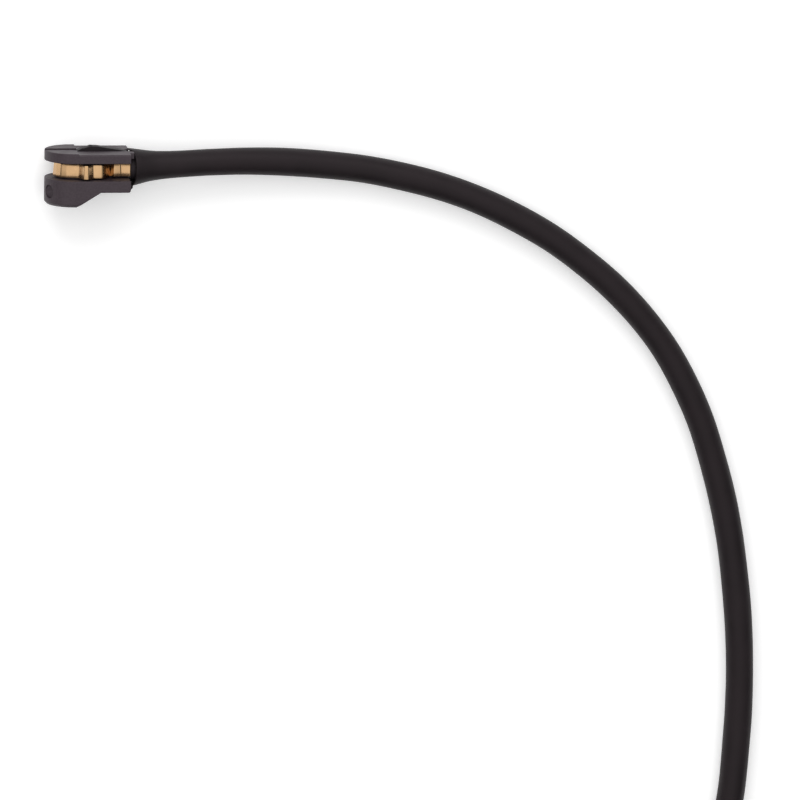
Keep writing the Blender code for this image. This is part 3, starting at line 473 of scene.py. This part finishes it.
def plain_metal(name, dark, light, roughness):
    """Bare metal with faint patches, for the contacts and the wear loop."""
    finish = Finish(name)
    tarnish = finish.noise(scale=900, roughness=0.6)
    finish.feed(finish.ramp(tarnish, dark, light), "Base Color")
    finish.feed(finish.spread(tarnish, roughness - 0.05, roughness + 0.07), "Roughness")
    finish.set("Metallic", 1.0)
    return finish.material


# Stage, camera and light


def make_floor():
    """A near-white floor that glows a little where it is seen, mirrored or looked at through glass."""
    mesh = bpy.data.meshes.new("floor")
    shape = bmesh.new()
    bmesh.ops.create_grid(shape, x_segments=FLOOR_PARTS, y_segments=FLOOR_PARTS, size=FLOOR_SIZE)
    shape.to_mesh(mesh)
    shape.free()
    finish = Finish("pale_floor")
    cloud = finish.noise(scale=3.0, detail=2.0)
    finish.feed(finish.ramp(cloud, (0.93, 0.93, 0.93), (0.96, 0.96, 0.96)), "Base Color")
    finish.set("Roughness", 0.9)
    finish.set("Specular IOR Level", 0.1)
    tree = finish.tree
    path = tree.nodes.new("ShaderNodeLightPath")
    seen = path.outputs["Is Camera Ray"]
    for ray in ("Is Glossy Ray", "Is Transmission Ray"):
        either = tree.nodes.new("ShaderNodeMath")
        either.operation = "MAXIMUM"
        finish.link(seen, either.inputs[0])
        finish.link(path.outputs[ray], either.inputs[1])
        seen = either.outputs[0]
    glow = tree.nodes.new("ShaderNodeMath")
    glow.operation = "MULTIPLY"
    glow.inputs[1].default_value = FLOOR_GLOW
    finish.link(seen, glow.inputs[0])
    finish.set("Emission Color", (1.0, 1.0, 1.0, 1.0))
    finish.feed(glow.outputs[0], "Emission Strength")
    add("floor", mesh, finish.material)


def make_camera():
    """A long lens over the part, tipped and rolled as in the photo."""
    way = Vector((math.sin(TIP_LEFT), math.sin(TIP_UP), 0.0))
    way.z = math.sqrt(1 - way.length_squared)
    right = Vector((0, 1, 0)).cross(way).normalized()
    up = way.cross(right)
    across = math.cos(ROLL) * right + math.sin(ROLL) * up
    upward = math.cos(ROLL) * up - math.sin(ROLL) * right
    camera = bpy.data.cameras.new("camera")
    camera.lens = CAMERA_LENS
    camera.sensor_width = CAMERA_SENSOR
    camera.clip_start = 0.01
    camera.clip_end = 20
    obj = bpy.data.objects.new("camera", camera)
    bpy.context.scene.collection.objects.link(obj)
    matrix = Matrix((across, upward, way)).transposed().to_4x4()
    matrix.translation = Vector(AIM) + way * CAMERA_DISTANCE
    obj.matrix_world = matrix
    bpy.context.scene.camera = obj


def make_softbox():
    """One wide lamp, high up on the top flange's side."""
    light = bpy.data.lights.new("rear_softbox", "AREA")
    light.shape = "RECTANGLE"
    light.size, light.size_y = REAR_SIZE
    light.energy = REAR_POWER
    obj = bpy.data.objects.new("rear_softbox", light)
    bpy.context.scene.collection.objects.link(obj)
    obj.location = REAR_AT
    obj.rotation_euler = (Vector(REAR_AIM) - Vector(REAR_AT)).to_track_quat("-Z", "Y").to_euler()


def make_room():
    """A room with a pale ceiling and darker walls, as the world."""
    world = bpy.data.worlds.new("studio")
    bpy.context.scene.world = world
    world.use_nodes = True
    tree = world.node_tree
    background = tree.nodes["Background"]
    background.inputs["Color"].default_value = (1.0, 1.0, 1.0, 1.0)
    place = tree.nodes.new("ShaderNodeTexCoord").outputs["Generated"]
    towards = tree.nodes.new("ShaderNodeVectorMath")
    towards.operation = "DOT_PRODUCT"
    towards.inputs[1].default_value = PALE_SIDE
    tree.links.new(place, towards.inputs[0])
    room = tree.nodes.new("ShaderNodeMapRange")
    room.inputs["From Min"].default_value = ROOM_LOW
    room.inputs["From Max"].default_value = ROOM_HIGH
    room.inputs["To Min"].default_value = ROOM_DARK
    room.inputs["To Max"].default_value = ROOM_PALE
    tree.links.new(towards.outputs["Value"], room.inputs["Value"])
    tree.links.new(room.outputs["Result"], background.inputs["Strength"])


# Sleeve with its flared end


def boot_axis(share):
    """A point on the middle line of the flared end, from the head to the sleeve's start."""
    start = HEAD_AT + Vector((FLANGE_BACK, SPIGOT_Y, MIDDLE))
    end = Vector(ROUTE[0])
    point = start.lerp(end, share)
    point.z = start.z + (end.z - start.z) * share ** DROP_POWER
    return point


def boot_radius(share):
    """Outer radius of the flared end at a share of its length."""
    flare = math.exp(-((share / FLARE_REACH) ** FLARE_POWER))
    return BOOT_NECK + (BOOT_MOUTH - BOOT_NECK) * flare


def sleeve_radius(along):
    """Radius at a length from the sleeve's start: thinner by the flared end, and never quite even."""
    full = SLEEVE / 2
    even = BOOT_NECK + (full - BOOT_NECK) * soft_step(along, 0.0, NECK_RECOVERY)
    wave = 1 + math.sin(2 * math.pi * along / SLEEVE_WAVE_LENGTH)
    return even - SLEEVE_WAVE * wave * soft_step(along, 0.0, NECK_RECOVERY)


def mouth_profile(boot_length):
    """Rings from inside the mouth round its edge and along the flared end.

    Each is (share of the flared end's length, part of the wall that lies outside the ring).
    """
    edge = BOOT_WALL / 2
    start = edge / boot_length
    rings = [(MOUTH_DEPTH * step / MOUTH_STEPS / boot_length, 1.0) for step in range(MOUTH_STEPS, 0, -1)]
    for step in range(MOUTH_EDGE_STEPS + 1):
        angle = math.pi * step / MOUTH_EDGE_STEPS
        ahead = edge * (1 - math.sin(angle))
        rings.append((ahead / boot_length, 0.5 + 0.5 * math.cos(angle)))
    for step in range(1, FLARE_STEPS + 1):
        rings.append((start + (1 - start) * (step / FLARE_STEPS) ** FLARE_SPACING, 0.0))
    return rings


def mouth_corner(axis, radial, share, inset):
    """A point of the flared end, whose mouth slants and laps over the rails' end with a tongue."""
    wall = BOOT_WALL + (TONGUE_WALL - BOOT_WALL) * soft_step(radial.y, *TONGUE_THINS)
    radius = boot_radius(share) - wall * inset
    slant = MOUTH_SLANT * max(0.0, radial.z) * max(0.0, 1 - share / SLANT_REACH)
    tongue = TONGUE * soft_step(radial.y, *TONGUE_GROWS) * max(0.0, 1 - share / TONGUE_REACH)
    clearance = FIT * max(0.0, 1 - share)
    return axis + radial * radius + Vector((clearance + slant - tongue, 0.0, 0.0))


def make_sleeve(material):
    """The flared end and the sleeve as one skin, with the small lip beside the mouth."""
    boot_length = (Vector(ROUTE[0]) - boot_axis(0.0)).length
    radials = [Vector((0.0, math.cos(turn), math.sin(turn))) for turn in turns(SLEEVE_SIDES)]
    rings = []
    lengths = []
    for share, inset in mouth_profile(boot_length):
        axis = boot_axis(share)
        rings.append([mouth_corner(axis, radial, share, inset) for radial in radials])
        lengths.append(share * boot_length)
    line = smooth_line(ROUTE, SLEEVE_STEP)
    along = 0.0
    side = Vector((0.0, 1.0, 0.0))
    for index in range(1, len(line)):
        here = line[index]
        along += (here - line[index - 1]).length
        way = (line[min(index + 1, len(line) - 1)] - line[index - 1]).normalized()
        side = (side - way * side.dot(way)).normalized()
        rings.append(circle(here, sleeve_radius(along), side, way.cross(side), SLEEVE_SIDES))
        lengths.append(boot_length + along)
    skin = Skin("flared_sleeve")
    skin.loft(rings, lengths)
    front = HEAD_AT.x + FLANGE_BACK + TIGHT
    low = HEAD_AT.y + SPIGOT_Y - BOOT_MOUTH - LIP_DROP
    skin.prism([(front + x, low + y) for x, y in LIP], MIDDLE, MIDDLE + LIP_WIDTH)
    sleeve = skin.finish(material)
    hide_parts("cable_sleeve", "end_boot")
    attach(sleeve, BODY)
    path = [boot_axis(step / BOOT_STEPS) for step in range(BOOT_STEPS)] + line
    tuple(boot_axis(0.0))


# Spring, wires and nose plug


def left_of(way):
    return Vector((-way.y, way.x))


def bent_line(corners):
    """Points along a line of flats joined by round bends, each with the normal to its left."""
    places = [Vector(corner) for corner, radius in corners]
    way = (places[1] - places[0]).normalized()
    made = [(places[0], left_of(way)), (places[0] + way * STRIP_EDGE, left_of(way))]
    for before, here, after, (corner, radius) in zip(places, places[1:], places[2:], corners[1:]):
        first = (here - before).normalized()
        turn = first.angle_signed((after - here).normalized())
        bend = math.copysign(radius, turn)
        start = here - first * radius * math.tan(abs(turn) / 2)
        centre = start - bend * left_of(first)
        for step in range(BEND_STEPS + 1):
            normal = left_of(Matrix.Rotation(-turn * step / BEND_STEPS, 2) @ first)
            made.append((centre + bend * normal, normal))
    way = (places[-1] - places[-2]).normalized()
    made.extend([(places[-1] - way * STRIP_EDGE, left_of(way)), (places[-1], left_of(way))])
    return made


def strip_section():
    """Outline of the strip with rounded edges, as (Y, depth from its outer face)."""
    edge = STRIP_EDGE
    low = STRIP_LOW + edge
    high = PLATE_GAP - STRIP_PLAY - edge
    deep = STRIP - edge
    section = []
    for y, depth, start in ((high, edge, 0), (high, deep, 90), (low, deep, 180), (low, edge, 270)):
        for degrees in (0, 45, 90):
            turn = math.radians(start + degrees)
            section.append((y + edge * math.sin(turn), depth - edge * math.cos(turn)))
    return section


def make_spring(material):
    """The spring strip, bent round the core from one free end to the other."""
    line = bent_line(SPRING + [((x, -off), bend) for (x, off), bend in reversed(SPRING[:-1])])
    section = strip_section()
    rings = []
    lengths = [0.0]
    for index, (place, normal) in enumerate(line):
        ring = []
        for y, depth in section:
            flat = place + normal * (depth + STRIP_LEAN * (y - PLATE_GAP / 2))
            ring.append(HEAD_AT + Vector((flat.x, y, MIDDLE + flat.y)))
        rings.append(ring)
        if index:
            lengths.append(lengths[-1] + (place - line[index - 1][0]).length)
    skin = Skin("bent_strip")
    skin.loft(rings, lengths)
    spring = skin.finish(material)
    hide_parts("spring_clip")
    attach(spring, BODY)


def make_wires(material):
    """Both lead wires, bedded in black compound where they cross the top flange; the compound's block
    also fills the slot under their arch as painted shade.
    """
    skin = Skin("wires_in_compound_and_painted_shade")
    low = SLOT_FLOOR + FIT
    outline = [(CROWN[0][0], low), *CROWN, (CROWN[-1][0], low)]
    half = WIRE_PITCH / 2 + WIRE / 2 + COMPOUND_AND_SHADE_SIDE
    placed = [(HEAD_AT.x + x, HEAD_AT.y + y) for x, y in outline]
    # Painted shade: this black block fills the slot under the wires' arch, where there is shade, as well
    # as standing for the compound
    skin.prism(placed, MIDDLE - half, MIDDLE + half)
    sunk = WIRE / 2 + COMPOUND_AND_SHADE_SIDE
    points = WELL + [(x, y - sunk) for x, y in WIRE_CROWN] + WIRE_TAIL
    for side in (-1, 1):
        z = MIDDLE + side * WIRE_PITCH / 2
        line = smooth_line([HEAD_AT + Vector((x, y, z)) for x, y in points], WIRE / 4)
        skin.tube(line, WIRE / 2, WIRE_SIDES)
    wires = skin.finish(material)
    soften(wires, COMPOUND_AND_SHADE_EDGE, COMPOUND_AND_SHADE_ANGLE)
    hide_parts("slot_sealant", "lead_wire_1", "lead_wire_2")
    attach(wires, BODY)


def make_nose_plug(material):
    """Plug in the nose's round hole, with a face that slants inward from its lower side."""
    way = Vector((-math.cos(HOLE_ANGLE), 0.0, math.sin(HOLE_ANGLE)))
    rise = Vector((math.sin(HOLE_ANGLE), 0.0, math.cos(HOLE_ANGLE)))
    across = Vector((0.0, 1.0, 0.0))
    middle = HEAD_AT + Vector((0.0, HOLE_Y, MIDDLE))
    rings = []
    for sunk, slant in ((PLUG_DEEP, 0.0), (PLUG_SUNK, PLUG_SLANT)):
        ring = circle(middle, PLUG_RADIUS, rise, across, PLUG_SIDES)
        depths = [sunk + slant * math.cos(turn) for turn in turns(PLUG_SIDES)]
        rings.append([place + way * (MIDDLE - depth) for place, depth in zip(ring, depths)])
    skin = Skin("nose_plug")
    skin.loft(rings, [0.0, PLUG_DEEP - PLUG_SUNK])
    plug = skin.finish(material)
    soften(plug, PLUG_EDGE, PLUG_ANGLE)
    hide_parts("nose_pin")
    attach(plug, BODY)


def dress(node, material):
    """Gives a node of the CAD model its finish."""
    obj = NODES[node]
    obj.data.materials.clear()
    obj.data.materials.append(material)


def main():
    bpy.context.scene.view_settings.view_transform = "Standard"
    make_camera()
    make_floor()
    make_room()
    make_softbox()
    black = sleeve_rubber()
    grey = moulded("moulded_grey", (0.0345, 0.0258, 0.0317), (0.0465, 0.0360, 0.0428), 0.52)
    plug = moulded("plug_black", (0.014, 0.013, 0.014), (0.020, 0.019, 0.020), 0.5)
    wire = rubber("wire_black", (0.0115, 0.0095, 0.0110), (0.0150, 0.0125, 0.0140), 0.55)
    # Painted light: the neck's rubber is the sleeve's black made lighter, to make up for the shade that
    # the neck sits in
    neck = rubber("neck_rubber_painted_lift", (0.0190, 0.0150, 0.0170), (0.0240, 0.0190, 0.0215), 0.55)
    boot = rubber("boot_rubber", (0.0070, 0.0062, 0.0066), (0.0100, 0.0090, 0.0095), 0.6)
    tin = plain_metal("tinned", (0.62, 0.61, 0.58), (0.72, 0.71, 0.68), 0.35)
    copper = plain_metal("copper", (0.66, 0.33, 0.20), (0.76, 0.40, 0.26), 0.35)
    lock = moulded("lock_white", (0.56, 0.54, 0.49), (0.63, 0.61, 0.56), 0.5)
    seal = rubber("seal_rubber", (0.22, 0.085, 0.040), (0.27, 0.105, 0.052), 0.55, 0.35)
    make_sleeve(black)
    make_spring(rolled_brass())
    make_wires(wire)
    make_nose_plug(grey)
    finishes = {
        "head_body": (grey, "moulded_head"),
        "neck_seal": (neck, "black_sleeve"),
        "wear_loop": (copper, "bare_copper"),
        "loop_crimp_1": (tin, "tinned_contact"),
        "loop_crimp_2": (tin, "tinned_contact"),
        "plug_skirt": (plug, "plug_plastic"),
        "contact_carrier": (plug, "plug_plastic"),
        "plug_housing": (plug, "plug_plastic"),
        "plug_contact_1": (tin, "tinned_contact"),
        "plug_contact_2": (tin, "tinned_contact"),
        "contact_lock": (lock, "lock_plastic"),
        "interface_seal": (seal, "seal_rubber"),
        "wire_seal_1": (seal, "seal_rubber"),
        "wire_seal_2": (seal, "seal_rubber"),
        "plug_lead_1": (wire, "wire_insulation"),
        "plug_lead_2": (wire, "wire_insulation"),
        "rear_cap": (plug, "plug_plastic"),
        "plug_boot": (boot, "boot_rubber"),
    }
    for node, (material, slot) in finishes.items():
        dress(node, material)


main()
